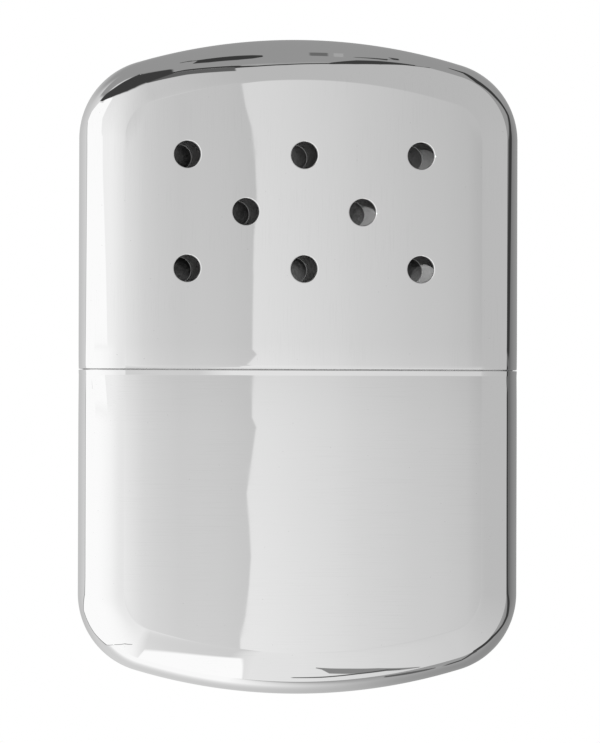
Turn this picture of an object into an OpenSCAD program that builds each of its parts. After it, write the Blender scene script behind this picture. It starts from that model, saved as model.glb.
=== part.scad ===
/* [Outer form] */
// Width across the two round side edges
body_w = 66.7; // [62:0.1:76]
// Thickness from the front face to the back face
body_t = 12.9; // [12.7:0.1:15]
// Height of the tank, from its lowest point up to the seam
tank_h = 48.9; // [44:0.1:60]
// Height of the lid, from the seam up to its highest point
lid_h = 49.9; // [46:0.1:60]
// Half of the angle that the long arc across the top and across the bottom spans
crown_angle = 16.8; // [12:0.1:20]
// Radius of the four corners as seen from the front
corner_r = 12; // [9:0.5:16]

/* [Shells] */
// Thickness of the drawn sheet of the lid and of the tank
shell_wall = 0.5; // [0.4:0.05:0.6]
// Width of the fine line between the closed lid and the tank
seam_gap = 0.12; // [0.05:0.01:0.3]

/* [Vents] */
// Diameter of each pierced vent
vent_d = 4; // [2:0.1:5]
// Distance between neighbouring vents of a row
vent_pitch = 17.7; // [12:0.1:19]
// Distance between neighbouring rows of vents
vent_row_pitch = 8.55; // [6:0.05:9]
// Distance of the middle row of vents from the seam
vent_mid_y = 23.7; // [21:0.1:26]
// Width of the broken edge round each vent
vent_edge = 0.15; // [0.05:0.05:0.2]

/* [Collar] */
// Sheet thickness of the collar that the lid slides over
collar_wall = 0.4; // [0.3:0.05:0.5]
// How far the collar stands out of the tank
collar_rise = 6; // [4:0.1:8]
// How far the collar reaches down into the tank
collar_depth = 9; // [8:0.1:12]
// Running gap between the collar and the shells around it
slide_gap = 0.15; // [0.1:0.01:0.2]
// Height of the lead-in taper at the top of the collar
collar_lead = 0.8; // [0.3:0.1:1.5]
// Distance of the two detent dimples of each face from the middle
dimple_x = 16; // [8:0.5:20]
// Height of the detent dimples above the seam
dimple_z = 3; // [2:0.1:3.5]
// Radius of the ball that presses the detent dimples
dimple_r = 6; // [3:0.5:10]

/* [Deck and neck] */
// Depth of the deck's upper face below the seam
deck_drop = 3.2; // [2:0.1:4]
// Sheet thickness of the deck plate
deck_wall = 0.5; // [0.4:0.05:0.6]
// Height of the rim turned down round the deck plate
deck_rim = 3.5; // [2:0.1:4]
// Width of the filler neck, end to end
neck_w = 30; // [24:0.1:34]
// Space between the filler neck and the collar around it
neck_margin = 1.7; // [1.6:0.05:2.2]
// Sheet thickness of the filler neck
neck_wall = 0.4; // [0.3:0.05:0.5]
// Height of the filler neck above the deck
neck_rise = 5.5; // [4:0.1:7]
// Width of the flange that holds the neck under the deck
neck_flange = 1; // [0.5:0.05:1.1]

/* [Burner] */
// Sheet thickness of the burner's skirt and cap
burner_wall = 0.4; // [0.3:0.05:0.4]
// Height of the burner's top above the seam
burner_top = 11.8; // [10.5:0.1:14]
// Height of the burner's lower edge above the deck
burner_foot = 0.3; // [0.2:0.05:1]
// Running gap between the burner's skirt and the neck
grip_gap = 0.15; // [0.1:0.01:0.2]
// How far the skirt shows below the cap
skirt_show = 1; // [0.5:0.1:2]
// Radius of the cap's drawn upper edge
cap_round = 1.5; // [0.8:0.1:2]
// Number of windows in each face of the cap
window_count = 3; // [2:1:4]
// Width of the bar between two windows
window_bar = 1.2; // [0.8:0.1:2]
// How far the gauze laps behind the windows, above and below
window_lap = 0.4; // [0.3:0.05:1]
// Corner radius of the windows
window_r = 0.8; // [0.4:0.1:1.2]

/* [Gauze] */
// Thickness of the wires of the gauze
wire_t = 0.25; // [0.2:0.05:0.35]
// Distance between neighbouring wires
wire_pitch = 1.1; // [0.9:0.05:2]

/* [Wadding] */
// Space left round each piece of wadding, felt and mat
pad_gap = 0.3; // [0.2:0.05:0.4]
// Thickness of the middle sheet of wadding
mid_pad_t = 3.6; // [3:0.1:5]
// How far the felt hangs below the collar
felt_reach = 1; // [0.5:0.1:4]

/* [Hidden] */
$fn = 96;

// small allowance by which a cutter runs past the face that it opens
past = 1;
// gap between sheet parts that are pressed together
press_gap = 0.05;

// the warmer lies on its back, with the lid towards +Y: the seam, and the middle of its thickness
seam_y = (tank_h - lid_h) / 2;
mid_z = body_t / 2;

// plan of the outer form: the corners' centres, and the radius of the arc through them
corner_x = body_w / 2 - corner_r;
core_r = corner_x / sin(crown_angle);
// straight distance between the two round sides of every section through the shells
span = body_w - body_t;

// half thicknesses of the sheet parts, from the outside in
shell_in = body_t / 2 - shell_wall;
collar_out = shell_in - slide_gap;
collar_in = collar_out - collar_wall;
deck_out = collar_in - press_gap;
neck_out = collar_in - neck_margin;
neck_in = neck_out - neck_wall;
skirt_in = neck_out + grip_gap;
skirt_out = skirt_in + burner_wall;
cap_in = skirt_out + press_gap;
cap_out = cap_in + burner_wall;

// heights above the seam
deck_z = -deck_drop;
neck_top = deck_z + neck_rise;
burner_z = deck_z + burner_foot;
cap_z = burner_z + skirt_show;
cap_top = burner_top;
ledge_z = neck_top + pad_gap;
gauze_z = ledge_z + burner_wall;
mat_z = gauze_z + wire_t + pad_gap;
mat_top = cap_top - burner_wall - pad_gap;
screen_top = cap_top - cap_round;
felt_z = -collar_depth - felt_reach;

// straight distance between the round ends of the neck and of the burner
neck_span = neck_w - neck_out * 2;
// the ledge inside the skirt reaches in as far as the neck's bore
ledge_in = neck_in - burner_wall;
window_w = (neck_span - pad_gap * 2 - window_bar * (window_count - 1)) / window_count;
window_z = (mat_z + screen_top) / 2;
screen_h = screen_top - mat_z;
window_h = screen_h - window_lap * 2;
// how far the detent dimples stand out of the collar, short of the lid
dimple_out = slide_gap - press_gap;

// moves what follows in two steps, a round one and the small rest, so that edges meet exactly
module shift(v) {
    round_step = [for (c = v) round(c * 100) / 100];
    translate(round_step)
        translate(v - round_step)
            children();
}

// half of a flat bar with a round nose: the section of the shells' edge
module nose_section(reach, half_t) {
    translate([0, -half_t])
        square([reach - half_t, half_t * 2]);
    intersection() {
        translate([reach - half_t, 0])
            circle(half_t);
        translate([reach - half_t, -half_t])
            square([half_t, half_t * 2]);
    }
}

// one end of the body as a solid, drawn in plan and set in from the outside by the inset:
// the mouth lies at y = mouth, and the outside of the crown at y = height
module end_slab(height, inset, mouth) {
    half_t = body_t / 2 - inset;
    reach = corner_r - inset;
    arc_y = height - corner_r - core_r;
    corner_y = arc_y + core_r * cos(crown_angle);
    // how far the flat middle runs into the corners, and how far the crown band reaches into it
    overlap = corner_r / 5;
    band_depth = height - corner_r - corner_y + overlap;
    // every piece is drawn past the mouth, and one straight cut ends them all there
    drawn_from = mouth - past;
    difference() {
        union() {
            // flat middle
            translate([-corner_x - overlap, drawn_from, -half_t])
                cube([(corner_x + overlap) * 2, corner_y + overlap - drawn_from, half_t * 2]);
            // crown band along the long arc
            shift([0, arc_y, 0])
                rotate_extrude(start = 90 - crown_angle, angle = crown_angle * 2)
                    shift([core_r, 0, 0])
                        union() {
                            nose_section(reach, half_t);
                            translate([-band_depth, -half_t])
                                square([band_depth, half_t * 2]);
                        }
            // corners and straight sides
            for (side = [0, 1])
                mirror([side, 0, 0])
                    shift([corner_x, corner_y, 0]) {
                        rotate_extrude(start = 0, angle = 90 - crown_angle)
                            nose_section(reach, half_t);
                        rotate([90, 0, 0])
                            linear_extrude(corner_y - drawn_from)
                                nose_section(reach, half_t);
                    }
        }
        translate([-body_w / 2 - past, drawn_from - past, -body_t / 2 - past])
            cube([body_w + past * 2, past * 2, body_t + past * 2]);
    }
}

// puts a plan drawing on the seam, its crown towards the lid's end or the tank's end
module from_seam(lidward) {
    translate([0, seam_y, mid_z])
        mirror([0, lidward ? 0 : 1, 0])
            children();
}

// lays down what is built round the Z axis at its height above the seam, front face up
module laid_down() {
    translate([0, seam_y, mid_z])
        rotate([-90, 0, 0])
            children();
}

// sweeps a section (distance out, height) round a slot form with the given straight length
module slot_sweep(straight) {
    for (side = [0, 1])
        mirror([side, 0, 0])
            translate([straight / 2, 0, 0])
                rotate_extrude(start = -90, angle = 180)
                    children();
    translate([-straight / 2, 0, 0])
        rotate([90, 0, 90])
            linear_extrude(straight) {
                children();
                mirror([1, 0])
                    children();
            }
}

// section of an upright sheet between two distances out and two heights
module wall_section(inner, outer, low, high) {
    translate([inner, low])
        square([outer - inner, high - low]);
}

// section of a block whose upper edge is rounded
module round_top_section(outer, low, high, edge_r) {
    wall_section(0, outer, low, high - edge_r);
    wall_section(0, outer - edge_r, low, high);
    translate([outer - edge_r, high - edge_r])
        circle(edge_r);
}

// rounded rectangle centred on the origin
module round_rect(w, h, r) {
    square([w - r * 2, h], center = true);
    square([w, h - r * 2], center = true);
    for (x = [-1, 1], y = [-1, 1])
        translate([x * (w / 2 - r), y * (h / 2 - r)])
            circle(r);
}

// square net of crossing wires that covers the given area
module net(w, h) {
    across = floor((w - wire_t) / wire_pitch / 2) * 2;
    up = floor((h - wire_t) / wire_pitch / 2) * 2;
    for (i = [-across / 2:across / 2])
        translate([i * wire_pitch, 0])
            square([wire_t, h], center = true);
    for (j = [-up / 2:up / 2])
        translate([0, j * wire_pitch])
            square([w, wire_t], center = true);
}

// flat net in a soldered rim, as a rectangle
module framed_net(w, h) {
    net(w, h);
    difference() {
        square([w, h], center = true);
        square([w - wire_t * 4, h - wire_t * 4], center = true);
    }
}

// one vent through both walls, with its edges broken on the outside
module vent_cutter() {
    cylinder(d = vent_d, h = body_t + past * 2, center = true);
    for (face = [0, 1])
        mirror([0, 0, face])
            translate([0, 0, body_t / 2 - vent_edge])
                cylinder(r1 = vent_d / 2, r2 = vent_d / 2 + vent_edge * 2, h = vent_edge * 2);
}

module lid_shell() {
    color("gainsboro")
        from_seam(true)
            difference() {
                end_slab(lid_h, 0, seam_gap / 2);
                end_slab(lid_h, shell_wall, -past);
                for (row = [-1, 0, 1])
                    for (i = [0:(row == 0 ? 1 : 2)])
                        translate([
                            (i - (row == 0 ? 0.5 : 1)) * vent_pitch,
                            vent_mid_y + row * vent_row_pitch,
                            0
                        ])
                            vent_cutter();
            }
}

module tank_shell() {
    color("gainsboro")
        from_seam(false)
            difference() {
                end_slab(tank_h, 0, seam_gap / 2);
                end_slab(tank_h, shell_wall, -past);
            }
}

// balls that press the collar's detent dimples out from the inside
module dimple_balls(ball_r) {
    for (x = [-1, 1], y = [-1, 1])
        translate([x * dimple_x, y * (collar_out + dimple_out - dimple_r), dimple_z])
            sphere(ball_r);
}

module collar_sleeve() {
    color("silver")
        laid_down()
            difference() {
                union() {
                    slot_sweep(span)
                        polygon([
                            [collar_in, -collar_depth],
                            [collar_out, -collar_depth],
                            [collar_out, collar_rise - collar_lead],
                            [collar_out - collar_wall / 2, collar_rise],
                            [collar_in, collar_rise]
                        ]);
                    intersection() {
                        dimple_balls(dimple_r);
                        slot_sweep(span)
                            wall_section(collar_in + press_gap, collar_out + slide_gap, 0, collar_rise);
                    }
                }
                dimple_balls(dimple_r - collar_wall);
            }
}

module deck_plate() {
    color("silver")
        laid_down()
            difference() {
                slot_sweep(span)
                    difference() {
                        wall_section(0, deck_out, deck_z - deck_rim, deck_z);
                        wall_section(0, deck_out - deck_wall, deck_z - deck_rim - past, deck_z - deck_wall);
                    }
                slot_sweep(neck_span)
                    wall_section(0, neck_out + press_gap, deck_z - deck_rim, deck_z + past);
            }
}

module filler_neck() {
    flange_z = deck_z - deck_wall - neck_wall;
    color("silver")
        laid_down()
            slot_sweep(neck_span)
                union() {
                    wall_section(neck_in, neck_out, flange_z, neck_top);
                    wall_section(neck_in, neck_out + neck_flange, flange_z, flange_z + neck_wall);
                }
}

module neck_felt() {
    color("ivory")
        laid_down()
            slot_sweep(neck_span)
                wall_section(0, neck_in - pad_gap / 2, felt_z, neck_top - pad_gap);
}

// one sheet of wadding that follows the inside of the tank, between two levels from its middle
module cotton_sheet(from_z, to_z) {
    pad_inset = shell_wall + pad_gap;
    color("white")
        from_seam(false)
            intersection() {
                end_slab(tank_h, pad_inset, pad_gap - felt_z);
                translate([-body_w / 2, 0, from_z])
                    cube([body_w, tank_h, to_z - from_z]);
            }
}

module cotton_pad_front() {
    cotton_sheet(mid_pad_t / 2 + pad_gap, body_t / 2);
}

module cotton_pad_middle() {
    cotton_sheet(-mid_pad_t / 2, mid_pad_t / 2);
}

module cotton_pad_rear() {
    cotton_sheet(-body_t / 2, -mid_pad_t / 2 - pad_gap);
}

// ring of wadding packed round the felt, under the deck
module cotton_top_wad() {
    wad_top = deck_z - deck_wall - neck_wall - pad_gap;
    color("white")
        laid_down()
            difference() {
                slot_sweep(span)
                    wall_section(0, deck_out - deck_wall - pad_gap, felt_z, wad_top);
                slot_sweep(neck_span)
                    wall_section(0, neck_in + pad_gap, felt_z - past, wad_top + past);
            }
}

module burner_cap() {
    window_step = window_w + window_bar;
    color("lightgray")
        laid_down()
            difference() {
                slot_sweep(neck_span)
                    difference() {
                        round_top_section(cap_out, cap_z, cap_top, cap_round);
                        round_top_section(cap_in, cap_z - past, cap_top - burner_wall, cap_round - burner_wall);
                    }
                for (i = [0:window_count - 1])
                    translate([(i - (window_count - 1) / 2) * window_step, 0, window_z])
                        rotate([90, 0, 0])
                            linear_extrude(body_t, center = true)
                                round_rect(window_w, window_h, window_r);
            }
}

module burner_skirt() {
    color("lightgray")
        laid_down()
            slot_sweep(neck_span)
                union() {
                    wall_section(skirt_in, skirt_out, burner_z, gauze_z);
                    wall_section(ledge_in, skirt_out, ledge_z, gauze_z);
                }
}

// gauze that lies just behind the windows of one face
module window_gauze(rear) {
    color("darkgray")
        translate([0, seam_y + window_z, mid_z])
            mirror([0, 0, rear ? 1 : 0])
                translate([0, 0, cap_in - press_gap - wire_t])
                    linear_extrude(wire_t)
                        framed_net(neck_span, screen_h);
}

module gauze_front() {
    window_gauze(false);
}

module gauze_rear() {
    window_gauze(true);
}

// outline of a slot with the given straight length and half thickness
module slot_outline(straight, half_t) {
    square([straight, half_t * 2], center = true);
    for (x = [-1, 1])
        translate([x * straight / 2, 0])
            circle(half_t);
}

// gauze that lies across the skirt's ledge and carries the mat
module mat_support_gauze() {
    reach = skirt_out - press_gap;
    color("darkgray")
        laid_down()
            translate([0, 0, gauze_z])
                linear_extrude(wire_t) {
                    intersection() {
                        slot_outline(neck_span, reach);
                        net(neck_span + reach * 2, reach * 2);
                    }
                    difference() {
                        slot_outline(neck_span, reach);
                        slot_outline(neck_span, reach - wire_t * 2);
                    }
                }
}

// folded mat of coated glass fibre
module catalyst_mat() {
    mat_out = cap_in - press_gap - wire_t - pad_gap / 2;
    color("whitesmoke")
        laid_down()
            slot_sweep(neck_span)
                round_top_section(mat_out, mat_z, mat_top, cap_round - burner_wall);
}

lid_shell();
tank_shell();
collar_sleeve();
deck_plate();
filler_neck();
neck_felt();
cotton_pad_front();
cotton_pad_middle();
cotton_pad_rear();
cotton_top_wad();
burner_cap();
burner_skirt();
gauze_front();
gauze_rear();
mat_support_gauze();
catalyst_mat();
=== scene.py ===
import math
import bpy
from mathutils import Matrix, Vector, noise
from mathutils.geometry import delaunay_2d_cdt


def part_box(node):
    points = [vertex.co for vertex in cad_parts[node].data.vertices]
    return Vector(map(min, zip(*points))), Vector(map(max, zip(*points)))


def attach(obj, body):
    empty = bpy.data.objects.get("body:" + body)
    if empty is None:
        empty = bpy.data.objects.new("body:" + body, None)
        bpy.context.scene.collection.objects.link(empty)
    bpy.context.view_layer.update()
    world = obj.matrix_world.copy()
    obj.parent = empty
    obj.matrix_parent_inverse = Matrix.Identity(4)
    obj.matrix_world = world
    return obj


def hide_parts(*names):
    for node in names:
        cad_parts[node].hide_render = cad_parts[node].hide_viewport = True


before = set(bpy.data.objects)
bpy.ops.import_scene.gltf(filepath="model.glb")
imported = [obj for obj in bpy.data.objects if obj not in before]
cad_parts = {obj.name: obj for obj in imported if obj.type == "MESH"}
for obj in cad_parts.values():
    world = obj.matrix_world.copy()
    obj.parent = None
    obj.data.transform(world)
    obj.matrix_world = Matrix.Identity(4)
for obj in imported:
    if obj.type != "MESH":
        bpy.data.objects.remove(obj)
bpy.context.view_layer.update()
print("frame loaded:", len(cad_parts), "CAD nodes")

mm = 0.001

# the warmer's outer form: it lies on its back, lid towards +Y, front face up
form = {
    "width": 66.7,
    "thickness": 12.9,
    "tankHeight": 48.9,
    "lidHeight": 49.9,
    "crownAngle": 16.8,     # degrees each side of the middle
    "cornerRadius": 12.0,
    "wall": 0.5,
    "seamGap": 0.12,
    "seamY": -0.5,
    "lipRadius": 0.1,
}
midZ = form["thickness"] / 2
spineInset = form["cornerRadius"] - midZ
cornerX = form["width"] / 2 - form["cornerRadius"]
coreRadius = cornerX / math.sin(math.radians(form["crownAngle"]))
endSpan = form["width"] - form["thickness"]     # between the round sides of a cross section


def addPiece(name, points, faces, normals=None, materials=(), faceSlots=None):
    mesh = bpy.data.meshes.new(name)
    mesh.from_pydata([tuple(c * mm for c in p) for p in points], [], faces)
    for material in materials:
        mesh.materials.append(material)
    if faceSlots:
        mesh.polygons.foreach_set("material_index", faceSlots)
    mesh.polygons.foreach_set("use_smooth", [True] * len(mesh.polygons))
    mesh.update()
    if normals:
        mesh.normals_split_custom_set_from_vertices(normals)
    piece = bpy.data.objects.new(name, mesh)
    bpy.context.scene.collection.objects.link(piece)
    return piece


class Builder:     # gathers points with their normals, and faces with their material slots
    def __init__(self):
        self.points = []
        self.normals = []
        self.faces = []
        self.slots = []

    def add(self, point, normal=(0, 0, 1)):
        self.points.append(tuple(point))
        self.normals.append(tuple(normal))
        return len(self.points) - 1

    def face(self, corners, slot=0):
        corners = list(corners)
        if self.normals:
            a, b, c = (Vector(self.points[i]) for i in (corners[0], corners[1], corners[2]))
            side = (b - a).cross(c - a)
            if len(corners) > 3:
                side = (c - a).cross(Vector(self.points[corners[3]]) - b)
            facing = sum((Vector(self.normals[i]) for i in corners), Vector())
            if side.dot(facing) < 0:
                corners.reverse()
        self.faces.append(corners)
        self.slots.append(slot)

    def strip(self, first, second, closed, slot=0):
        count = len(first)
        for i in range(count if closed else count - 1):
            j = (i + 1) % count
            self.face((first[i], first[j], second[j], second[i]), slot)

    def piece(self, name, materials):
        return addPiece(name, self.points, self.faces, self.normals, materials, self.slots)


def crownCentre(height):
    return height - form["cornerRadius"] - coreRadius


def cornerHeight(height):
    return crownCentre(height) + coreRadius * math.cos(math.radians(form["crownAngle"]))


def outlineStations(height, levels):
    # the curve through the centres of the round edge, from the right of the mouth over the crown
    arcY = crownCentre(height)
    cornerY = cornerHeight(height)
    angle = form["crownAngle"]
    sides = list(levels)
    sideSteps, cornerSteps = shellDetail["sideSteps"], shellDetail["cornerSteps"]
    for i in range(1, sideSteps + 1):
        sides.append(levels[-1] + (cornerY - levels[-1]) * i / sideSteps)
    stations = [(cornerX + spineInset, up, 1.0, 0.0) for up in sides]

    def arc(centreX, centreY, radius, start, end, count):
        for i in range(1, count + 1):
            a = math.radians(start + (end - start) * i / count)
            stations.append((centreX + radius * math.cos(a), centreY + radius * math.sin(a),
                             math.cos(a), math.sin(a)))

    arc(cornerX, cornerY, spineInset, 0, 90 - angle, cornerSteps)
    arc(0, arcY, coreRadius + spineInset, 90 - angle, 90 + angle, shellDetail["crownSteps"])
    arc(-cornerX, cornerY, spineInset, 90 + angle, 180, cornerSteps)
    stations += [(-cornerX - spineInset, up, -1.0, 0.0) for up in sides[-2::-1]]
    return stations


shellDetail = {
    "sideSteps": 8,         # along each straight side, above the followed heights
    "cornerSteps": 44,
    "crownSteps": 56,
    "noseSteps": 60,        # round the edge, from the front face to the back
    "mouthSteps": 30,       # across each flat face at the mouth
    "lipSteps": 4,
    "ventSteps": 72,
    "ventRadius": 2.0,
    "ventRoll": 0.17,       # radius of the rolled edge outside
    "ventBurr": 0.05,       # radius of the edge inside
    "rollSteps": 6,
}

# how far the drawn sheet falls away near each mouth, and at which heights it is followed
lidMouth = {
    "levels": [0.16, 0.3, 0.5, 0.7, 0.9, 1.2, 1.6, 2.1, 2.7, 3.3, 4.0],
    "slow": (0.024, 4.0),       # depth and reach of the long roll
    "quick": (0.02, 0.6),       # and of the short one
}
tankMouth = {
    "levels": [0.16, 0.5, 0.84, 0.9, 1.4, 2.2, 3.2, 4.6, 6.5, 9.0],
    "dip": 0.045,
    "crease": 0.87,
    "reach": 8.2,
}


def lidDrop(up):
    # depth and slope
    depth, slope = 0.0, 0.0
    for deep, reach in (lidMouth["slow"], lidMouth["quick"]):
        left = max(0.0, 1 - up / reach)
        depth += deep * left ** 2
        slope -= 2 * deep * left / reach
    return depth, slope


def tankDrop(up):
    crease, dip = tankMouth["crease"], tankMouth["dip"]
    if up < crease:
        return dip * up / crease, dip / crease
    left = max(0.0, 1 - (up - crease) / tankMouth["reach"])
    return dip * left ** 2, -2 * dip * left / tankMouth["reach"]


def buildShell(name, height, lidward, vents, outside, inside):
    shell = Builder()
    levels, drop = (lidMouth["levels"], lidDrop) if lidward else (tankMouth["levels"], tankDrop)
    stations = outlineStations(height, levels)
    way = 1 if lidward else -1
    noseSteps = shellDetail["noseSteps"]
    mouthSteps = shellDetail["mouthSteps"]
    outerHalf = midZ
    innerHalf = midZ - form["wall"]
    ventEdge = shellDetail["ventRadius"] + shellDetail["ventRoll"]

    def place(x, up, z):
        return x, form["seamY"] + way * up, midZ + z

    def skin(halfT, inward, slot):
        sign = -1 if inward else 1
        rows = []
        for x, up, nx, ny in stations:
            depth, slope = (0.0, 0.0) if inward else drop(up)
            row = []
            for j in range(noseSteps + 1):
                a = math.pi * (0.5 - j / noseSteps)
                normal = (nx * math.cos(a), ny * math.cos(a), math.sin(a))
                reach = halfT - depth
                point = place(x + reach * normal[0], up + reach * normal[1], reach * normal[2])
                row.append(shell.add(point, (sign * normal[0], sign * way * (normal[1] + slope),
                                             sign * normal[2])))
            rows.append(row)
        for a, b in zip(rows, rows[1:]):
            shell.strip(a, b, False, slot)
        # the rows across each flat face near the mouth, then the rim of what is left of the face
        bands = len(levels)
        mouthEdges = []
        rims = []
        for side, pick in ((1, 0), (-1, noseSteps)):
            across = []
            for k, up in enumerate(levels):
                depth, slope = (0.0, 0.0) if inward else drop(up)
                start, end = rows[k][pick], rows[-1 - k][pick]
                edge = [start]
                for i in range(1, mouthSteps):
                    x = (cornerX + spineInset) * (1 - 2 * i / mouthSteps)
                    edge.append(shell.add(place(x, up, side * (halfT - depth)),
                                          (0, sign * way * slope, sign * side)))
                across.append(edge + [end])
            for a, b in zip(across, across[1:]):
                shell.strip(a, b, False, slot)
            mouthEdges.append(across[0])
            rims.append([row[pick] for row in rows[bands - 1:len(rows) - bands + 1]]
                        + across[-1][-2:0:-1])
        mouthLoop = mouthEdges[0] + rows[-1][1:] + mouthEdges[1][-2::-1] + rows[0][-2:0:-1]
        return mouthLoop, rims

    def ventRing(centre, side, radius, depth, radial, axial):
        ring = []
        for i in range(shellDetail["ventSteps"]):
            a = 2 * math.pi * i / shellDetail["ventSteps"]
            point = place(centre[0] + radius * math.cos(a), centre[1] + radius * math.sin(a),
                          side * depth)
            normal = (radial * math.cos(a), way * radial * math.sin(a), side * axial)
            ring.append(shell.add(point, normal))
        return ring

    def flatFace(rim, rings, radius, slot):
        flat = [Vector(shell.points[i][:2]) for i in rim]
        ids = list(rim)
        edges = [(i, (i + 1) % len(rim)) for i in range(len(rim))]
        for ring in rings:
            base = len(flat)
            flat += [Vector(shell.points[i][:2]) for i in ring]
            ids += ring
            edges += [(base + i, base + (i + 1) % len(ring)) for i in range(len(ring))]
        verts, _, triangles, origins, _, _ = delaunay_2d_cdt(flat, edges, [], 0, 1e-6)
        back = [ids[o[0]] for o in origins]
        centres = [Vector((c[0], form["seamY"] + way * c[1])) for c in vents]
        reach = radius * math.cos(math.pi / shellDetail["ventSteps"])
        for t in triangles:
            middle = sum((verts[i] for i in t), Vector((0, 0))) / 3
            if all((middle - c).length > reach for c in centres):
                shell.face([back[i] for i in t], slot)

    outerMouth, outerRims = skin(outerHalf, False, 0)
    innerMouth, innerRims = skin(innerHalf, True, 1)

    # vents: rolled edge outside, straight wall, small edge inside
    steps = shellDetail["rollSteps"]
    roll, burr, radius = (shellDetail[k] for k in ("ventRoll", "ventBurr", "ventRadius"))
    quarter = [math.pi / 2 * k / steps for k in range(steps + 1)]
    for side, outerRim, innerRim in zip((1, -1), outerRims, innerRims):
        outerRings, innerRings = [], []
        for centre in vents:
            rings = []
            for a in quarter:
                rings.append(ventRing(centre, side, radius + roll * (1 - math.sin(a)),
                                      outerHalf - roll * (1 - math.cos(a)),
                                      -math.sin(a), math.cos(a)))
            for a in quarter[::-1]:
                rings.append(ventRing(centre, side, radius + burr * (1 - math.sin(a)),
                                      innerHalf + burr * (1 - math.cos(a)),
                                      -math.sin(a), -math.cos(a)))
            for k, (a, b) in enumerate(zip(rings, rings[1:])):
                shell.strip(a, b, True, 0 if k <= steps else 1)
            outerRings.append(rings[0])
            innerRings.append(rings[-1])
        flatFace(outerRim, outerRings, ventEdge, 0)
        flatFace(innerRim, innerRings, radius + burr, 1)

    # the lip at the mouth, rolled round from the outside to the inside
    lip = form["lipRadius"]
    depth = drop(levels[0])[0]
    mouthHalf = outerHalf - depth
    sections = []
    turns = shellDetail["lipSteps"]
    for k in range(1, turns + 1):
        a = math.pi / 2 * k / turns
        sections.append((mouthHalf - lip * (1 - math.cos(a)), lip * (1 - math.sin(a)),
                         math.cos(a), -math.sin(a)))
    for k in range(turns):
        a = math.pi / 2 * k / turns
        sections.append((innerHalf + lip * (1 - math.sin(a)), lip * (1 - math.cos(a)),
                         -math.sin(a), -math.cos(a)))
    last = outerMouth
    for half, up, out, down in sections:
        loop = []
        for i in outerMouth:
            x, y, z = shell.points[i]
            flatN = Vector((shell.normals[i][0], 0, shell.normals[i][2])).normalized()
            shift = half - mouthHalf
            point = (x + flatN.x * shift, form["seamY"] + way * (form["seamGap"] / 2 + up),
                     z + flatN.z * shift)
            loop.append(shell.add(point, (flatN.x * out, way * down, flatN.z * out)))
        shell.strip(last, loop, True, 0)
        last = loop
    shell.strip(last, innerMouth, True, 1)
    return shell.piece(name, (outside, inside))


class Wire:     # one socket of a node tree, so that shader maths reads as plain expressions
    def __init__(self, desk, socket):
        self.desk = desk
        self.socket = socket

    def maths(self, operation, *others, first=None):
        terms = (first, self) if first is not None else (self,) + others
        return self.desk.node("ShaderNodeMath", {"operation": operation}, dict(enumerate(terms)))

    def __add__(self, other):
        return self.maths("ADD", other)

    __radd__ = __add__

    def __mul__(self, other):
        return self.maths("MULTIPLY", other)

    __rmul__ = __mul__

    def __sub__(self, other):
        return self.maths("SUBTRACT", other)

    def __rsub__(self, other):
        return self.maths("SUBTRACT", first=other)

    def __truediv__(self, other):
        return self.maths("DIVIDE", other)

    def __rtruediv__(self, other):
        return self.maths("DIVIDE", first=other)

    def between(self, low, high, start=0.0, end=1.0, smooth=True):
        # runs from start to end as the value runs from low to high
        kind = "SMOOTHSTEP" if smooth else "LINEAR"
        return self.desk.node("ShaderNodeMapRange", {"interpolation_type": kind},
                              {"Value": self, "From Min": low, "From Max": high,
                               "To Min": start, "To Max": end})


class Desk:     # makes the nodes of one material or of the world
    def __init__(self, owner):
        owner.use_nodes = True
        self.tree = owner.node_tree
        self.tree.nodes.clear()

    def node(self, kind, settings=None, values=None, output=0):
        made = self.tree.nodes.new(kind)
        for key, value in (settings or {}).items():
            if key == "stops":
                ramp = made.color_ramp
                while len(ramp.elements) > 1:
                    ramp.elements.remove(ramp.elements[-1])
                for i, (position, shade) in enumerate(value):
                    stop = ramp.elements[0] if i == 0 else ramp.elements.new(position)
                    stop.position = position
                    stop.color = grey(shade) if isinstance(shade, (int, float)) else (*shade, 1)
            else:
                setattr(made, key, value)
        for key, value in (values or {}).items():
            self.join(made.inputs[key], value)
        return Wire(self, made.outputs[output]) if made.outputs else None

    def join(self, socket, value):
        if isinstance(value, Wire):
            self.tree.links.new(value.socket, socket)
        elif isinstance(socket.default_value, (int, float)):
            socket.default_value = value
        elif isinstance(value, (int, float)):
            socket.default_value = [value] * len(socket.default_value)
        else:
            size = len(socket.default_value)
            socket.default_value = (tuple(value) + (1,))[:size]

    def blend(self, factor, first, second):
        # mixes two colours
        made = self.tree.nodes.new("ShaderNodeMix")
        made.data_type = "RGBA"
        self.join(made.inputs[0], factor)
        self.join(made.inputs[6], first)
        self.join(made.inputs[7], second)
        return Wire(self, made.outputs[2])

    def curve(self, value, stops):
        # a curve through the stops, each a place along the value and a height
        first, last = stops[0][0], stops[-1][0]
        low = min(height for _, height in stops)
        span = max(height for _, height in stops) - low
        points = [((p - first) / (last - first), (height - low) / span) for p, height in stops]
        share = value.between(first, last, smooth=False)
        return self.node("ShaderNodeValToRGB", {"stops": points}, {"Fac": share}) * span + low

    def place(self, scale=(1, 1, 1)):
        # object coordinates in millimetres, stretched by the scale
        where = self.node("ShaderNodeTexCoord", output=3)
        return self.node("ShaderNodeVectorMath", {"operation": "MULTIPLY"},
                         {0: where, 1: tuple(s / mm for s in scale)})

    def speckle(self, size, detail=2.0, roughness=0.5, scale=(1, 1, 1), distortion=0.0):
        # noise whose features are about so many millimetres wide
        return self.node("ShaderNodeTexNoise", None,
                         {"Vector": self.place(scale), "Scale": 1 / size, "Detail": detail,
                          "Roughness": roughness, "Distortion": distortion})


def grey(shade):
    return shade, shade, shade, 1


def newFinish(name):
    material = bpy.data.materials.new(name)
    return material, Desk(material)


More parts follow.
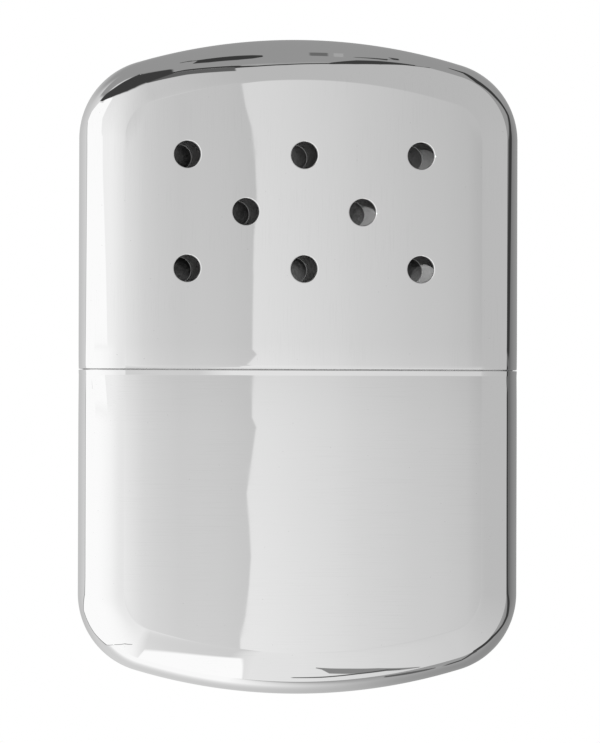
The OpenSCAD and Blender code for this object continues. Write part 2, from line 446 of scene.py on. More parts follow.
def surface(desk, **values):
    shader = desk.node("ShaderNodeBsdfPrincipled", None,
                       {key.replace("_", " "): value for key, value in values.items()})
    desk.node("ShaderNodeOutputMaterial", None, {"Surface": shader})


def bump(desk, height, distance, strength=1.0):
    # distance is the height of a full step, in millimetres
    return desk.node("ShaderNodeBump", None,
                     {"Height": height, "Distance": distance * mm, "Strength": strength})


chrome = {
    "shade": 0.86,
    "roughness": 0.007,
    "smudgeRoughness": 0.008,
    "waveHeight": 0.0006,       # mm, the slow waves of the drawn sheet
    "waveSize": 21.0,
    "brushMarks": 0.06,         # strength of the faint brush marks
    "speckTone": 0.5,
}


def polishedChrome(name, brushing):
    # brushing stretches the noise along the marks: under 1 along an axis makes it longer there
    material, desk = newFinish(name)
    smudge = desk.speckle(9, 4, 0.6).between(0.45, 0.75)
    wipe = desk.speckle(0.5, 3, 0.7, (1, 0.06, 1)).between(0.62, 0.8)
    specks = desk.speckle(0.3, 0, 0.5).between(0.86, 0.89) * 0.35
    patches = desk.speckle(14, 2, 0.5).between(0.35, 0.6)
    lines = desk.speckle(0.17, 2, 0.6, brushing).between(0.48, 0.74) * patches
    tone = desk.blend(specks + lines * chrome["brushMarks"],
                      grey(chrome["shade"]), grey(chrome["speckTone"]))
    rough = smudge * chrome["smudgeRoughness"] + chrome["roughness"] + wipe * 0.006
    waves = desk.speckle(chrome["waveSize"], 1.5, 0.4)
    surface(desk, Base_Color=tone, Metallic=1.0, Roughness=rough,
            Normal=bump(desk, waves, chrome["waveHeight"]))
    return material


def sheetInside():
    material, desk = newFinish("sheetInside")
    stain = desk.speckle(3.5, 5, 0.65).between(0.35, 0.7)
    grain = desk.speckle(0.12, 2, 0.6, (1, 0.15, 1))
    tone = desk.blend(stain, grey(0.34), grey(0.5))
    surface(desk, Base_Color=tone, Metallic=1.0, Roughness=stain * 0.18 + 0.38,
            Normal=bump(desk, grain, 0.01))
    return material


def drawnSheet():
    # plain drawn sheet of the collar, deck and neck, with draw lines along the warmer
    material, desk = newFinish("drawnSheet")
    lines = desk.speckle(0.14, 3, 0.6, (1, 0.03, 1))
    cloud = desk.speckle(5, 4, 0.6)
    tone = desk.blend(cloud.between(0.35, 0.7), grey(0.56), grey(0.68))
    surface(desk, Base_Color=tone, Metallic=1.0, Roughness=lines * 0.16 + 0.2,
            Normal=bump(desk, lines, 0.006))
    return material


def burnerMetal():
    material, desk = newFinish("burnerMetal")
    cloud = desk.speckle(4, 4, 0.65).between(0.3, 0.75)
    grain = desk.speckle(0.18, 3, 0.65)
    heat = desk.speckle(7, 2, 0.5, (1, 0.7, 1)).between(0.45, 0.72)
    plain = desk.blend(cloud, (0.60, 0.595, 0.58), (0.70, 0.695, 0.68))
    tone = desk.blend(heat * 0.55, plain, (0.50, 0.43, 0.34))
    surface(desk, Base_Color=tone, Metallic=1.0, Roughness=cloud * 0.12 + grain * 0.1 + 0.22,
            Normal=bump(desk, grain, 0.008))
    return material


def wireMetal():
    material, desk = newFinish("wireMetal")
    cloud = desk.speckle(0.9, 3, 0.6)
    tone = desk.blend(cloud.between(0.3, 0.7), (0.33, 0.325, 0.32), (0.48, 0.47, 0.455))
    surface(desk, Base_Color=tone, Metallic=1.0, Roughness=cloud * 0.25 + 0.3,
            Normal=bump(desk, cloud, 0.01))
    return material


def fibre(name, light, dark, size, height):
    # wadding, felt and glass fibre: matted strands in two directions
    material, desk = newFinish(name)
    strands = desk.speckle(size, 5, 0.75, (1, 0.3, 1), 1.5)
    cross = desk.speckle(size * 0.8, 4, 0.7, (0.3, 1, 1), 2.0)
    cloud = desk.speckle(size * 9, 3, 0.6)
    tone = desk.blend((strands * 0.5 + cross * 0.3 + cloud * 0.4).between(0.4, 0.8), dark, light)
    surface(desk, Base_Color=tone, Roughness=0.92, Sheen_Weight=0.25,
            Normal=bump(desk, strands + cross, height))
    return material


finishes = {
    "lidChrome": polishedChrome("lidChrome", (1, 0.03, 1)),
    "tankChrome": polishedChrome("tankChrome", (0.018, 1, 1)),
    "inside": sheetInside(),
    "sheet": drawnSheet(),
    "burner": burnerMetal(),
    "wire": wireMetal(),
    "cotton": fibre("cottonWadding", (0.90, 0.89, 0.86), (0.74, 0.73, 0.69), 0.28, 0.12),
    "felt": fibre("neckFelt", (0.80, 0.77, 0.70), (0.60, 0.57, 0.50), 0.16, 0.06),
    "mat": fibre("glassFibreMat", (0.60, 0.59, 0.57), (0.36, 0.35, 0.34), 0.14, 0.07),
}
print("finishes made:", len(finishes))


vents = {
    "pitch": 17.7,
    "rowPitch": 8.55,
    "middleRow": 23.7,      # above the seam
}


def ventCentres():
    centres = []
    for row in (-1, 0, 1):
        count = 2 if row == 0 else 3
        for i in range(count):
            centres.append(((i - (count - 1) / 2) * vents["pitch"],
                            vents["middleRow"] + row * vents["rowPitch"]))
    return centres


lid = buildShell("lid_polished", form["lidHeight"], True, ventCentres(),
                 finishes["lidChrome"], finishes["inside"])
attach(lid, "lid")
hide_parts("lid_shell")
tank = buildShell("tank_polished", form["tankHeight"], False, [],
                  finishes["tankChrome"], finishes["inside"])
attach(tank, "tank")
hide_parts("tank_shell")
print("shells built:", len(lid.data.polygons), "and", len(tank.data.polygons), "faces")


soft = {
    "steps": 120,           # round each outline
    "edge": 0.9,            # radius of a pad's edge
    "lump": 0.16,           # height of the lumps in the wadding
    "lumpSize": 3.2,
    "tankRadius": 5.67,     # of the wadding against the tank's rounded edge
    "hub": 0.12,            # share of the outline at which a pad's faces start
    "rings": 14,            # from there to the rounded edge
    "cottonRings": 22,
    "edgeSteps": 7,
    "planCorner": 20,       # steps of the wadding's plan: each corner, the crown, each side
    "planCrown": 30,        # and the straight top
    "planSide": 16,
    "planTop": 30,
    "feltEdge": 0.6,
    "feltLump": 0.12,
    "matEdge": 1.1,
    "matLump": 0.2,
    "ringSteps": 26,
    "ringGap": 0.45,        # between the felt and the ring round it
    "ringInset": 0.04,      # share of the space left free on each side of the ring
    "ringLump": 0.1,
    "ringLumpSize": 3.0,
}


def slotOutline(straight, half, count):
    # points (across, depth) round a slot, evenly spaced, starting in the middle of one side
    length = 2 * straight + 2 * math.pi * half
    points = []
    for i in range(count):
        s = length * i / count
        if s < straight / 2:
            points.append((s, half))
        elif s < straight / 2 + math.pi * half:
            a = math.pi / 2 - (s - straight / 2) / half
            points.append((straight / 2 + half * math.cos(a), half * math.sin(a)))
        elif s < 1.5 * straight + math.pi * half:
            points.append((straight / 2 - (s - straight / 2 - math.pi * half), -half))
        elif s < 1.5 * straight + 2 * math.pi * half:
            a = -math.pi / 2 - (s - 1.5 * straight - math.pi * half) / half
            points.append((-straight / 2 + half * math.cos(a), half * math.sin(a)))
        else:
            points.append((s - length, half))
    return points


def lumpy(point, amount, size):
    return amount * noise.noise(Vector(point) / size)


def loopPiece(name, loops, capped, material):
    # joins closed loops of points into one skin; the first and last close to a point, or meet
    body = Builder()
    rows = []
    for loop in loops:
        rows.append([len(body.points) + i for i in range(len(loop))])
        body.points += loop
    pairs = list(zip(rows, rows[1:])) + ([] if capped else [(rows[-1], rows[0])])
    for a, b in pairs:
        for i in range(len(a)):
            j = (i + 1) % len(a)
            body.faces.append([a[i], a[j], b[j], b[i]])
    if capped:
        for row, turn in ((rows[0], -1), (rows[-1], 1)):
            middle = [sum(body.points[i][k] for i in row) / len(row) for k in range(3)]
            body.points.append(tuple(middle))
            hub = len(body.points) - 1
            for i in range(len(row)):
                corners = [row[i], row[(i + 1) % len(row)], hub]
                body.faces.append(corners if turn > 0 else corners[::-1])
    return addPiece(name, body.points, body.faces, None, (material,))


def crownedPad(name, outlineAt, low, high, toPoint, material, edge, lump, rings):
    # a pad that follows its outline at each level, with a rounded edge and lightly lumpy faces
    half = (high - low) / 2
    middle = (high + low) / 2
    edge = min(edge, half)
    outline = outlineAt(middle)
    centre = [sum(p[k] for p in outline) / len(outline) for k in range(2)]
    reach = min(math.dist(p, centre) for p in outline)
    hub = soft["hub"]
    profile = [(hub + (1 - edge / reach - hub) * k / (rings - 1), half) for k in range(rings)]
    for k in range(1, soft["edgeSteps"] + 1):
        a = math.pi / 2 * k / soft["edgeSteps"]
        profile.append((1 - edge / reach * (1 - math.sin(a)), half - edge * (1 - math.cos(a))))
    loops = []
    for share, level in profile + [(s, -h) for s, h in profile[::-1]]:
        loop = []
        for p in outlineAt(middle + level):
            a, b = (centre[k] + (p[k] - centre[k]) * share for k in range(2))
            dent = abs(lumpy((a * 1.3, b * 1.7, level * 2), lump, soft["lumpSize"]))
            dent = min(dent, half / 2)
            loop.append(toPoint(a, b, middle + level - math.copysign(dent, level)))
        loops.append(loop)
    return loopPiece(name, loops, True, material)


def upright(a, b, level):
    # across, depth from the middle, height along the warmer
    return a, level, midZ + b


def inPlan(a, b, level):
    return a, b, level


def boxMm(node):
    low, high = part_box(node)
    return [c / mm for c in low], [c / mm for c in high]


def boxOutline(low, high, wider=0.0):
    # the slot that fills a box across and in depth, or one that stands off it all round
    half = (high[2] - low[2]) / 2
    return slotOutline(high[0] - low[0] - 2 * half, half + wider, soft["steps"])


def placeSoft(piece, body, node):
    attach(piece, body)
    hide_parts(node)


# felt plug in the neck
low, high = boxMm("neck_felt")
feltOutline = boxOutline(low, high)
felt = crownedPad("felt_plug", lambda level: feltOutline, low[1], high[1], upright,
                  finishes["felt"], soft["feltEdge"], soft["feltLump"], soft["rings"])
placeSoft(felt, "tank", "neck_felt")

# catalyst mat behind the windows
low, high = boxMm("catalyst_mat")
matOutline = boxOutline(low, high)
mat = crownedPad("catalyst_pad", lambda level: matOutline, low[1], high[1], upright,
                 finishes["mat"], soft["matEdge"], soft["matLump"], soft["rings"])
placeSoft(mat, "burner", "catalyst_mat")


def tankPlan(level, top):
    # outline of the tank's inside in plan at one level, from its rounded end to a straight top
    points = []
    arcY = crownCentre(form["tankHeight"])
    cornerY = cornerHeight(form["tankHeight"])
    angle = form["crownAngle"]
    corner, crown, side, across = (soft["plan" + k] for k in ("Corner", "Crown", "Side", "Top"))
    reach = spineInset + math.sqrt(soft["tankRadius"] ** 2 - (level - midZ) ** 2)

    def arc(centreX, centreY, radius, start, end, count):
        for i in range(count + 1):
            a = math.radians(start + (end - start) * i / count)
            points.append((centreX + radius * math.cos(a), centreY + radius * math.sin(a)))

    arc(cornerX, cornerY, reach, 0, 90 - angle, corner)
    arc(0, arcY, coreRadius + reach, 90 - angle, 90 + angle, crown)
    arc(-cornerX, cornerY, reach, 90 + angle, 180, corner)
    edge = cornerX + reach
    for i in range(1, side):
        points.append((-edge, cornerY + (top - cornerY) * i / side))
    for i in range(across + 1):
        points.append((-edge + 2 * edge * i / across, top))
    for i in range(1, side):
        points.append((edge, top + (cornerY - top) * i / side))
    return [(x, form["seamY"] - up) for x, up in points]


for node in ("cotton_pad_front", "cotton_pad_middle", "cotton_pad_rear"):
    low, high = boxMm(node)
    top = form["seamY"] - high[1]
    pad = crownedPad(node + "_wadding", lambda level: tankPlan(level, top), low[2], high[2],
                     inPlan, finishes["cotton"], soft["edge"], soft["lump"], soft["cottonRings"])
    placeSoft(pad, "tank", node)

# ring of wadding round the felt
low, high = boxMm("cotton_top_wad")
outer = boxOutline(low, high)
inner = boxOutline(*boxMm("neck_felt"), soft["ringGap"])
section = []
for k in range(soft["ringSteps"]):
    a = 2 * math.pi * k / soft["ringSteps"]
    across = math.copysign(abs(math.cos(a)) ** 0.5, math.cos(a))
    along = math.copysign(abs(math.sin(a)) ** 0.5, math.sin(a))
    section.append(((across + 1) / 2, along))
middle, half = (low[1] + high[1]) / 2, (high[1] - low[1]) / 2
inset = soft["ringInset"]
loops = []
for share, along in section:
    loop = []
    for p, q in zip(inner, outer):
        a, b = (p[k] + (q[k] - p[k]) * (inset + (1 - 2 * inset) * share) for k in range(2))
        sag = 1 - abs(lumpy((a, b, along), soft["ringLump"], soft["ringLumpSize"]))
        loop.append(upright(a, b, middle + along * half * sag))
    loops.append(loop)
topWad = loopPiece("cotton_top_ring", loops, False, finishes["cotton"])
placeSoft(topWad, "tank", "cotton_top_wad")
print("soft pieces built")


# the CAD's own metal pieces and the finish of each
carried = {
    "collar_sleeve": "sheet",
    "deck_plate": "sheet",
    "filler_neck": "sheet",
    "burner_cap": "burner",
    "burner_skirt": "burner",
    "gauze_front": "wire",
    "gauze_rear": "wire",
    "mat_support_gauze": "wire",
}
for node, finish in carried.items():
    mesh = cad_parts[node].data
    mesh.materials.clear()
    mesh.materials.append(finishes[finish])
print("metal pieces finished:", len(carried))


camera = {
    "towardsLeft": 7.43,        # degrees off the front face's normal
    "towardsTank": 0.44,
    "roll": 0.17,
    "distance": 1000.0,
    "pixelsPerMm": 6.616,
    "frame": (600, 743),
    "offset": (-1.534, -4.799),     # of the warmer's middle from the frame's, in its pixels
    "filmWidth": 36,
}


def towardsCamera():
    a, b = math.radians(camera["towardsLeft"]), math.radians(camera["towardsTank"])
    return Vector((-math.sin(a) * math.cos(b), -math.sin(b), math.cos(a) * math.cos(b)))


def makeCamera():
    back = towardsCamera()
    right = Vector((0, 1, 0)).cross(back).normalized()
    up = back.cross(right)
    c = math.radians(camera["roll"])
    right, up = math.cos(c) * right + math.sin(c) * up, math.cos(c) * up - math.sin(c) * right
    aim = Vector((0, 0, midZ))
    aim -= (right * camera["offset"][0] - up * camera["offset"][1]) / camera["pixelsPerMm"]
    data = bpy.data.cameras.new("camera")
    data.sensor_width = camera["filmWidth"]
    data.lens = (camera["filmWidth"] * camera["pixelsPerMm"] * camera["distance"]
                 / max(camera["frame"]))
    data.clip_start, data.clip_end = 0.01, 10
    eye = bpy.data.objects.new("camera", data)
    bpy.context.scene.collection.objects.link(eye)
    spot = (aim + back * camera["distance"]) * mm
    rows = [(right[k], up[k], back[k], spot[k]) for k in range(3)]
    eye.matrix_world = Matrix(rows + [(0, 0, 0, 1)])
    bpy.context.scene.camera = eye


studio = {
    "floorSize": 3.0,       # metres
    "floorShade": 0.7,
    # painted contact shadow: the floor's colour darkens to this under and close round the warmer,
    # on top of its rendered shadow
    "paintedContactShadow": 0.05,   # right under the warmer
    "shadowReach": 0.03,    # metres, of the soft shadow round the warmer
    "floorDrop": 0.02,      # mm under the warmer's back, so that the two don't share a plane
    "white": 1.12,          # of the white panels
    "wall": 0.335,          # of the grey wall past the lid
    "cardDistance": 420.0,
    "faceCentre": (0.63, 0.79),     # where the middle of the face shows, in mm
    "faceStretch": 1.015,
    "faceEnd": 42.9,        # mm from the middle to each end of the flat face, as mirrored
}

# shades of the left and the right light panel as the flat face mirrors them, from its left edge
# at -1 to its right edge at 1
leftPanel = [(-1.0, 0.89), (-0.97, 0.855), (-0.93, 0.81), (-0.89, 0.757), (-0.81, 0.71),
             (-0.69, 0.672), (-0.57, 0.672), (-0.456, 0.66), (-0.337, 0.635), (-0.28, 0.62)]
rightPanel = [(-0.27, 0.871), (-0.12, 0.845), (0.02, 0.815), (0.17, 0.785), (0.31, 0.74),
              (0.46, 0.71), (0.61, 0.675), (0.76, 0.655), (0.90, 0.62), (0.935, 0.59),
              (0.975, 0.565), (1.0, 0.56)]
# light round the warmer's edge by bearing in degrees: 0 is the right, 90 the lid's end
aroundEdge = [(-180, 0.89), (-150, 0.93), (-118, 0.93), (-112, 0.84), (-106, 0.74), (-98.2, 0.70),
              (-96.4, 0.89), (-90, 0.87), (-84, 0.81), (-73, 0.70), (-40, 0.63), (-5, 0.57),
              (5, 0.56), (40, 0.545), (73, 0.54), (97, 0.55), (107, 0.63), (125, 0.70),
              (150, 0.80), (172, 0.87), (180, 0.89)]
# where the two panels meet, by height on the face in mm
panelLine = [(-43, -9.5), (-41, -9.5), (-37.5, -8.7), (-33, -8.15), (-28.5, -7.85), (-24, -8.1),
             (-19, -8.5), (-8.5, -7.1), (-3, -7.75), (10, -7.75), (19, -7.65), (25.6, -7.25),
             (32, -7.55), (35.7, -8.05), (39, -9.0), (43, -9.7)]
# where the white side panel starts, by how far round the lid's corner
whiteLine = [(0.0, 0.42), (0.008, 0.47), (0.017, 0.55), (0.06, 0.58), (0.2, 0.59), (0.38, 0.50)]


def makeWorld():
    world = bpy.data.worlds.new("studio")
    bpy.context.scene.world = world
    desk = Desk(world)
    where = desk.node("ShaderNodeTexCoord", output=0)
    # the tilt that a polished surface needs to mirror each direction
    tilt = desk.node("ShaderNodeVectorMath", {"operation": "ADD"}, {0: where, 1: towardsCamera()})
    tilt = desk.node("ShaderNodeVectorMath", {"operation": "NORMALIZE"}, {0: tilt})
    x, y = (desk.node("ShaderNodeSeparateXYZ", None, {0: tilt}, output=k) for k in (0, 1))
    bearing = y.maths("ARCTAN2", x) * (180 / math.pi)

    # the flat face: its sideways and lengthwise millimetres
    reach = 2 * camera["distance"] / studio["faceStretch"]
    across = x * reach - studio["faceCentre"][0]
    along = y * reach - studio["faceCentre"][1]
    share = across / (endSpan / 2)
    # towards the face's corners the panels' bright borders are left out
    cut = along.between(30, 39, -1, -0.88).maths("MAXIMUM", along.between(-32, -41, -1, -0.92))
    left = desk.curve(share.maths("MAXIMUM", cut), leftPanel)
    left = left * along.between(-43, 43, 1.08, 0.915, False)
    right = desk.curve(share.maths("MINIMUM", 0 - cut), rightPanel)
    right = right * along.between(-43, 43, 1.06, 0.89, False)
    face = left + (right - left) * (across - desk.curve(along, panelLine)).between(-0.1, 0.1)

    # the rounded edge, brighter towards the side panel on the left
    edge = desk.curve(bearing, aroundEdge) + x.between(-0.02, -0.42, 0, 0.11)
    pastSide = across.maths("ABSOLUTE") - endSpan / 2
    pastEnd = along.maths("ABSOLUTE") - studio["faceEnd"]
    shade = face + (edge - face) * pastSide.maths("MAXIMUM", pastEnd).between(0, 60)

    # white panels: on the left of the lid with a sharp border, on the left of the tank a soft one
    lidSide = along.between(-8, 8)
    sharp = (0 - x - desk.curve(y, whiteLine)).between(-0.008, 0.008) * lidSide
    low = y.between(-0.04, -0.16)
    soft = (0 - x - (low * -0.1 + 0.15)).between(0, 0.53) * (1 - lidSide)
    end = (x * 2 - 0.18 - y).between(-0.02, 0.02) * (y * 0.106 - 0.004 - x).between(-0.0015, 0.0015)
    white = sharp.maths("MAXIMUM", soft).maths("MAXIMUM", end)
    shade = shade + (studio["white"] - shade) * white

    seen = desk.node("ShaderNodeLightPath", output=0)
    tone = desk.node("ShaderNodeCombineXYZ", None, {0: shade, 1: shade, 2: shade})
    background = desk.node("ShaderNodeBackground", None,
                           {"Color": desk.blend(seen, tone, grey(1.0)), "Strength": 1.0})
    desk.node("ShaderNodeOutputWorld", None, {"Surface": background})


# painted light and shade of the floor as the polished edge mirrors it, by mm across: lighter to the
# left, darker to the right
paintedFloorShading = {
    "sides": [(-60, 0.82), (-42, 0.67), (-34, 0.56), (0, 0.5), (31, 0.44), (36, 0.33), (52, 0.25),
              (76, 0.16)],
    "nearTank": [(-30, 0.72), (-10, 0.64), (0, 0.57), (10, 0.49), (19, 0.36), (30, 0.3)],
    "pastTank": [(-45, 1.1), (-12, 1.1), (0, 0.84), (12, 0.6), (22, 0.44), (45, 0.36)],
}


def makeFloor():
    size = studio["floorSize"] / 2 / mm
    corners = ((-size, -size), (size, -size), (size, size), (-size, size))
    floor = addPiece("floor", [(x, y, -studio["floorDrop"]) for x, y in corners], [(0, 1, 2, 3)])
    material, desk = newFinish("paleFloor")
    floor.data.materials.append(material)
    # white to camera and transmission rays, but not close round the warmer, so its shadow stays
    toCamera, glossy, through = (desk.node("ShaderNodeLightPath", output=k) for k in (0, 3, 6))
    free = desk.node("ShaderNodeAmbientOcclusion", {"samples": 16},
                     {"Distance": studio["shadowReach"]}, output=1)
    # painted shadow: the floor's own colour darkens where the warmer hides the sky, so the floor
    # seen through the vents is dark too
    tone = desk.blend(free.between(0.02, 0.3), grey(studio["paintedContactShadow"]),
                      grey(studio["floorShade"]))
    plain = desk.node("ShaderNodeBsdfDiffuse", None, {"Color": tone})
    white = desk.node("ShaderNodeEmission", None, {"Color": grey(1.0), "Strength": 1.0})
    shown = (toCamera + through).between(0, 0.5) * free.between(0.1, 0.4)
    mixed = desk.node("ShaderNodeMixShader", None, {0: shown, 1: plain, 2: white})
    # for glossy rays the floor glows with painted light and shade: grey past the lid, paler towards
    # the left and the tank, darker to the right
    where = desk.node("ShaderNodeTexCoord", output=3)
    x, y = (desk.node("ShaderNodeSeparateXYZ", None, {0: where}, output=k) for k in (0, 1))
    x, y = x / mm, y / mm
    side, near, far = (desk.curve(x, paintedFloorShading[k]) for k in ("sides", "nearTank", "pastTank"))
    lidEnd = y.between(42, 52) * x.between(-42, -34)
    shade = side + (studio["wall"] - side) * lidEnd
    tankEnd = near + (far - near) * y.between(-53, -82)
    shade = shade + (tankEnd - shade) * y.between(-38, -50)
    # painted shadow in the mirrored floor: darker where the warmer hides the sky
    shade = shade * free.between(0.05, 0.4, 0.6, 1.0)
    tone = desk.node("ShaderNodeCombineXYZ", None, {0: shade, 1: shade, 2: shade})
    paintedFloorGlow = desk.node("ShaderNodeEmission", None, {"Color": tone, "Strength": 1.0})
    mixed = desk.node("ShaderNodeMixShader", None, {0: glossy, 1: mixed, 2: paintedFloorGlow})
    # clear from below, so that the warmer's back can be looked at
    below = desk.node("ShaderNodeNewGeometry", output=6)
    clear = desk.node("ShaderNodeBsdfTransparent")
    mixed = desk.node("ShaderNodeMixShader", None, {0: below, 1: mixed, 2: clear})
    desk.node("ShaderNodeOutputMaterial", None, {"Surface": mixed})


cardForm = {
    "steps": 6,             # between two rows, and across
    "softBorder": 0.09,     # share of its width that a fading border adds on each side
    "nearer": 0.004,        # share by which each card stands nearer than the one before
    "higher": 0.02,         # and mm by which it stands higher
    "floorGap": 0.4,        # mm
}

# dark, grey and white cards round the warmer, each by where its image lies on the rounded edge:
# the end (1 lid, -1 tank), the shade, then rows of the edge's bearing, the tilts from and to which
# the card shows there, and for the straight sides the height above the seam
cards = {
    "wallPastLid": (1, studio["wall"], [(75, 50, 60), (77.6, 42, 60), (82, 34.5, 60),
        (86.7, 25.2, 60), (92, 22.5, 60), (97.3, 24.5, 60), (102.5, 31, 60), (106, 36, 60),
        (112, 45, 60), (149, 53, 60)]),
    "sideOfLid": (1, 0.045, [(0, 40, 46, 0), (0, 41.8, 48.5, 17), (0, 44, 51, 34), (9, 46, 51.5),
        (21, 50.5, 55.5), (27, 49.5, 54), (40, 45.5, 51), (52, 44, 50), (60, 43.5, 50.5),
        (66, 46, 52.5), (72, 50, 54.5), (75, 53, 54)]),
    "slantPastLid": (1, 0.05, [(76.6, 43, 44), (77.6, 41, 42.5), (79.5, 37.5, 40.5),
        (82, 31.5, 37.5), (84.5, 27, 33.5), (87.6, 23.4, 25.4)]),
    "patchPastLid": (1, 0.05, [(79.9, 42, 48), (81.5, 40.5, 46.5), (85.2, 37.5, 43.5)]),
    "palePatch": (1, 0.42, [(85.6, 37, 43.5), (87, 36, 43)]),
    "greyPatch": (1, 0.16, [(87.3, 36.5, 43), (89.6, 36, 42)]),
    "farPatch": (1, 0.045, [(94.2, 36, 38.5), (95.4, 34.4, 40.4), (97, 34.5, 42), (100, 37, 45),
        (102, 40.5, 46.4), (103, 44.5, 46.5)]),
    "archPastLid": (1, 0.045, [(86.7, 24.5, 26), (89, 23, 24.4), (92, 21.5, 23), (95, 21.3, 23),
        (98.2, 22.8, 25.8)]),
    "bandPastLid": (1, 0.13, [(97.2, 18, 24), (99.5, 20.5, 26.5), (102.5, 24.5, 30.5),
        (107.5, 27, 33)]),
    "bandShadow": (1, 0.045, [(96.5, 23, 25), (99.5, 26.5, 28.5), (102.5, 30.5, 32.5),
        (107.5, 33, 35)]),
    "cornerOfLid": (1, 0.05, [(103.6, 31, 38), (106.6, 27.3, 43), (110, 27, 46), (120, 27, 46),
        (128, 29, 47.5), (135, 33.5, 49), (142, 40, 52), (149.5, 50.5, 54)]),
    "whiteLeftOfLid": (1, studio["white"], [(150, 46, 53), (158, 45, 59), (165, 44.8, 61),
        (174, 44.8, 59), (180, 44.8, 59, 34), (180, 44.8, 61, 0)]),
    "lineLeftOfLid": (1, 0.5, [(165, 61, 61.8), (174, 59, 60), (180, 59, 60, 34),
        (180, 61, 61.8, 0)]),
    "sideOfTank": (-1, 0.05, [(0, 40.5, 43.5, 0), (0, 40.5, 43.5, 17), (0, 41.5, 44.5, 33),
        (9, 44, 49), (20.7, 47.5, 52.5), (28, 47, 51), (40, 42, 46.5), (55, 40.5, 45),
        (62, 41, 45)]),
    "tailOfTank": (-1, 0.08, [(58, 41.5, 46), (63, 42.5, 46), (68, 45, 47.8), (75.5, 49, 51)]),
    "streakPastTank": (-1, 0.13, [(75.8, 49, 50), (77, 47.5, 50.5), (79, 46, 50),
        (81.6, 45.5, 48)]),
    "leafPastTank": (-1, 0.27, [(77.4, 41, 42), (79.5, 36, 39.5), (82, 30, 35), (85, 25.5, 34),
        (87.2, 23, 31), (88, 22, 24.5), (88.7, 21, 22)]),
    "leafShadow": (-1, 0.11, [(79.5, 38.5, 39.5), (81.1, 34, 36.5), (84.2, 34, 36),
        (88, 35.5, 37.5), (91.4, 36, 37.3)]),
    "whiteLeftOfTank": (-1, studio["white"], [(124, 43, 44), (131, 43, 45), (135.4, 43, 56),
        (147, 43, 61), (163, 43, 65), (175, 43, 60), (180, 43, 59.5, 33), (180, 43, 59.8, 0)]),
    "cornerLine": (-1, 0.3, [(119.5, 28, 28.8), (126.5, 34, 35.5), (132, 45, 46.5),
        (135.6, 56, 57.5), (147, 61, 62), (163, 65, 66), (175, 60, 61), (180, 59.5, 60.3, 33),
        (180, 59.8, 60.6, 0)]),
}


def edgePoint(lidward, bearing, up=None):
    # a point of the curve that the rounded edge is built on
    height = form["lidHeight"] if lidward > 0 else form["tankHeight"]
    a = math.radians(bearing)
    turn = form["crownAngle"]
    if up is not None:
        x, y = math.copysign(cornerX + spineInset, math.cos(a)), up
    elif abs(bearing - 90) <= turn:
        reach = coreRadius + spineInset
        x, y = reach * math.cos(a), crownCentre(height) + reach * math.sin(a)
    else:
        x = math.copysign(cornerX, math.cos(a)) + spineInset * math.cos(a)
        y = cornerHeight(height) + spineInset * math.sin(a)
    return Vector((x, form["seamY"] + lidward * y, midZ))


def cardSpot(lidward, bearing, tilt, up, eye):
    a, b = math.radians(bearing), math.radians(tilt)
    normal = Vector((math.cos(a) * math.sin(b), lidward * math.sin(a) * math.sin(b), math.cos(b)))
    start = edgePoint(lidward, bearing, up) + midZ * normal
    view = (eye - start).normalized()
    ray = 2 * normal.dot(view) * normal - view
    length = studio["cardDistance"]
    if ray.z < 0:
        length = min(length, (start.z - cardForm["floorGap"]) / -ray.z)
    return start + ray * length


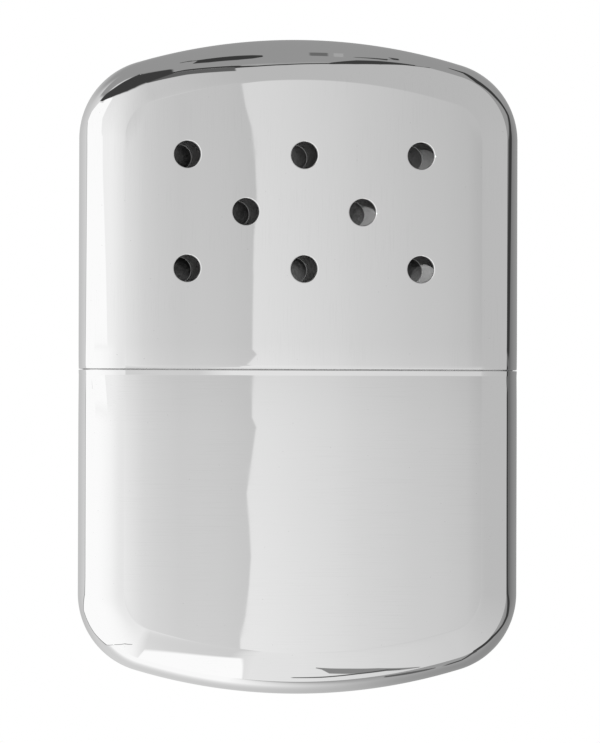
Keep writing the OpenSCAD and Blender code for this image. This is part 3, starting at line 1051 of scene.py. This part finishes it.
def makeCards():
    eye = bpy.context.scene.camera.matrix_world.translation / mm
    steps = cardForm["steps"]
    for order, (name, (lidward, shade, rows)) in enumerate(cards.items()):
        card = Builder()
        grid = []
        rows = [(row + (None,))[:4] for row in rows]
        hardEdged = shade > 1
        for first, last in zip(rows, rows[1:]):
            for i in range(steps + 1):
                t = i / steps
                bearing, low, high = (first[k] + (last[k] - first[k]) * t for k in range(3))
                heights = [edgePoint(1, r[0], r[3])[1] - form["seamY"] for r in (first, last)]
                straight = bearing in (0, 180) and first[0] == last[0]
                up = heights[0] + (heights[1] - heights[0]) * t if straight else None
                spare = 0 if hardEdged else cardForm["softBorder"] * (high - low)
                low, high = low - spare, high + spare
                grid.append([cardSpot(lidward, bearing, low + (high - low) * j / steps, up, eye)
                             for j in range(steps + 1)])
        # the outer rows and columns of a soft card fade
        shrink = 1 - cardForm["nearer"] * order
        lift = Vector((0, 0, cardForm["higher"] * order))
        firm = []
        for i, row in enumerate(grid):
            ids = []
            for j, spot in enumerate(row):
                card.points.append(tuple(spot * shrink + lift))
                ids.append(len(card.points) - 1)
                inside = 0 < i < len(grid) - 1 and 0 < j < steps
                firm.append(1.0 if hardEdged or inside else 0.0)
            row[:] = ids
        for a, b in zip(grid, grid[1:]):
            for j in range(steps):
                card.faces.append([a[j], a[j + 1], b[j + 1], b[j]])
        piece = addPiece(name, card.points, card.faces)
        material, desk = newFinish(name)
        glow = desk.node("ShaderNodeEmission", None, {"Color": grey(shade), "Strength": 1.0})
        clear = desk.node("ShaderNodeBsdfTransparent")
        edge = desk.node("ShaderNodeAttribute", {"attribute_name": "firm"}, output=2)
        firmness = edge.between(0.1, 0.9)
        mixed = desk.node("ShaderNodeMixShader", None, {0: firmness, 1: clear, 2: glow})
        desk.node("ShaderNodeOutputMaterial", None, {"Surface": mixed})
        piece.data.materials.append(material)
        piece.data.attributes.new("firm", "FLOAT", "POINT").data.foreach_set("value", firm)
        piece.visible_camera = False
        piece.visible_shadow = False
        piece.visible_diffuse = False


ventLamp = {
    "aim": (21.0, 17.0, 12.9),
    "direction": (-0.197, 0.08, 0.977),
    "distance": 420.0,
    "watts": 2.2,
    "spread": 5.2,      # degrees
    "blend": 0.8,
    "radius": 0.004,
}


def makeVentLamp():
    # a narrow lamp that reaches through the right-hand vents to the inside of the back
    data = bpy.data.lights.new("ventLamp", "SPOT")
    data.energy = ventLamp["watts"]
    data.spot_size = math.radians(ventLamp["spread"])
    data.spot_blend = ventLamp["blend"]
    data.shadow_soft_size = ventLamp["radius"]
    lamp = bpy.data.objects.new("ventLamp", data)
    bpy.context.scene.collection.objects.link(lamp)
    towards = Vector(ventLamp["direction"]).normalized()
    lamp.location = (Vector(ventLamp["aim"]) + towards * ventLamp["distance"]) * mm
    lamp.rotation_euler = towards.to_track_quat("Z", "Y").to_euler()


makeCamera()
makeWorld()
makeFloor()
makeCards()
makeVentLamp()
bpy.context.scene.view_settings.view_transform = "Standard"
print("studio made")
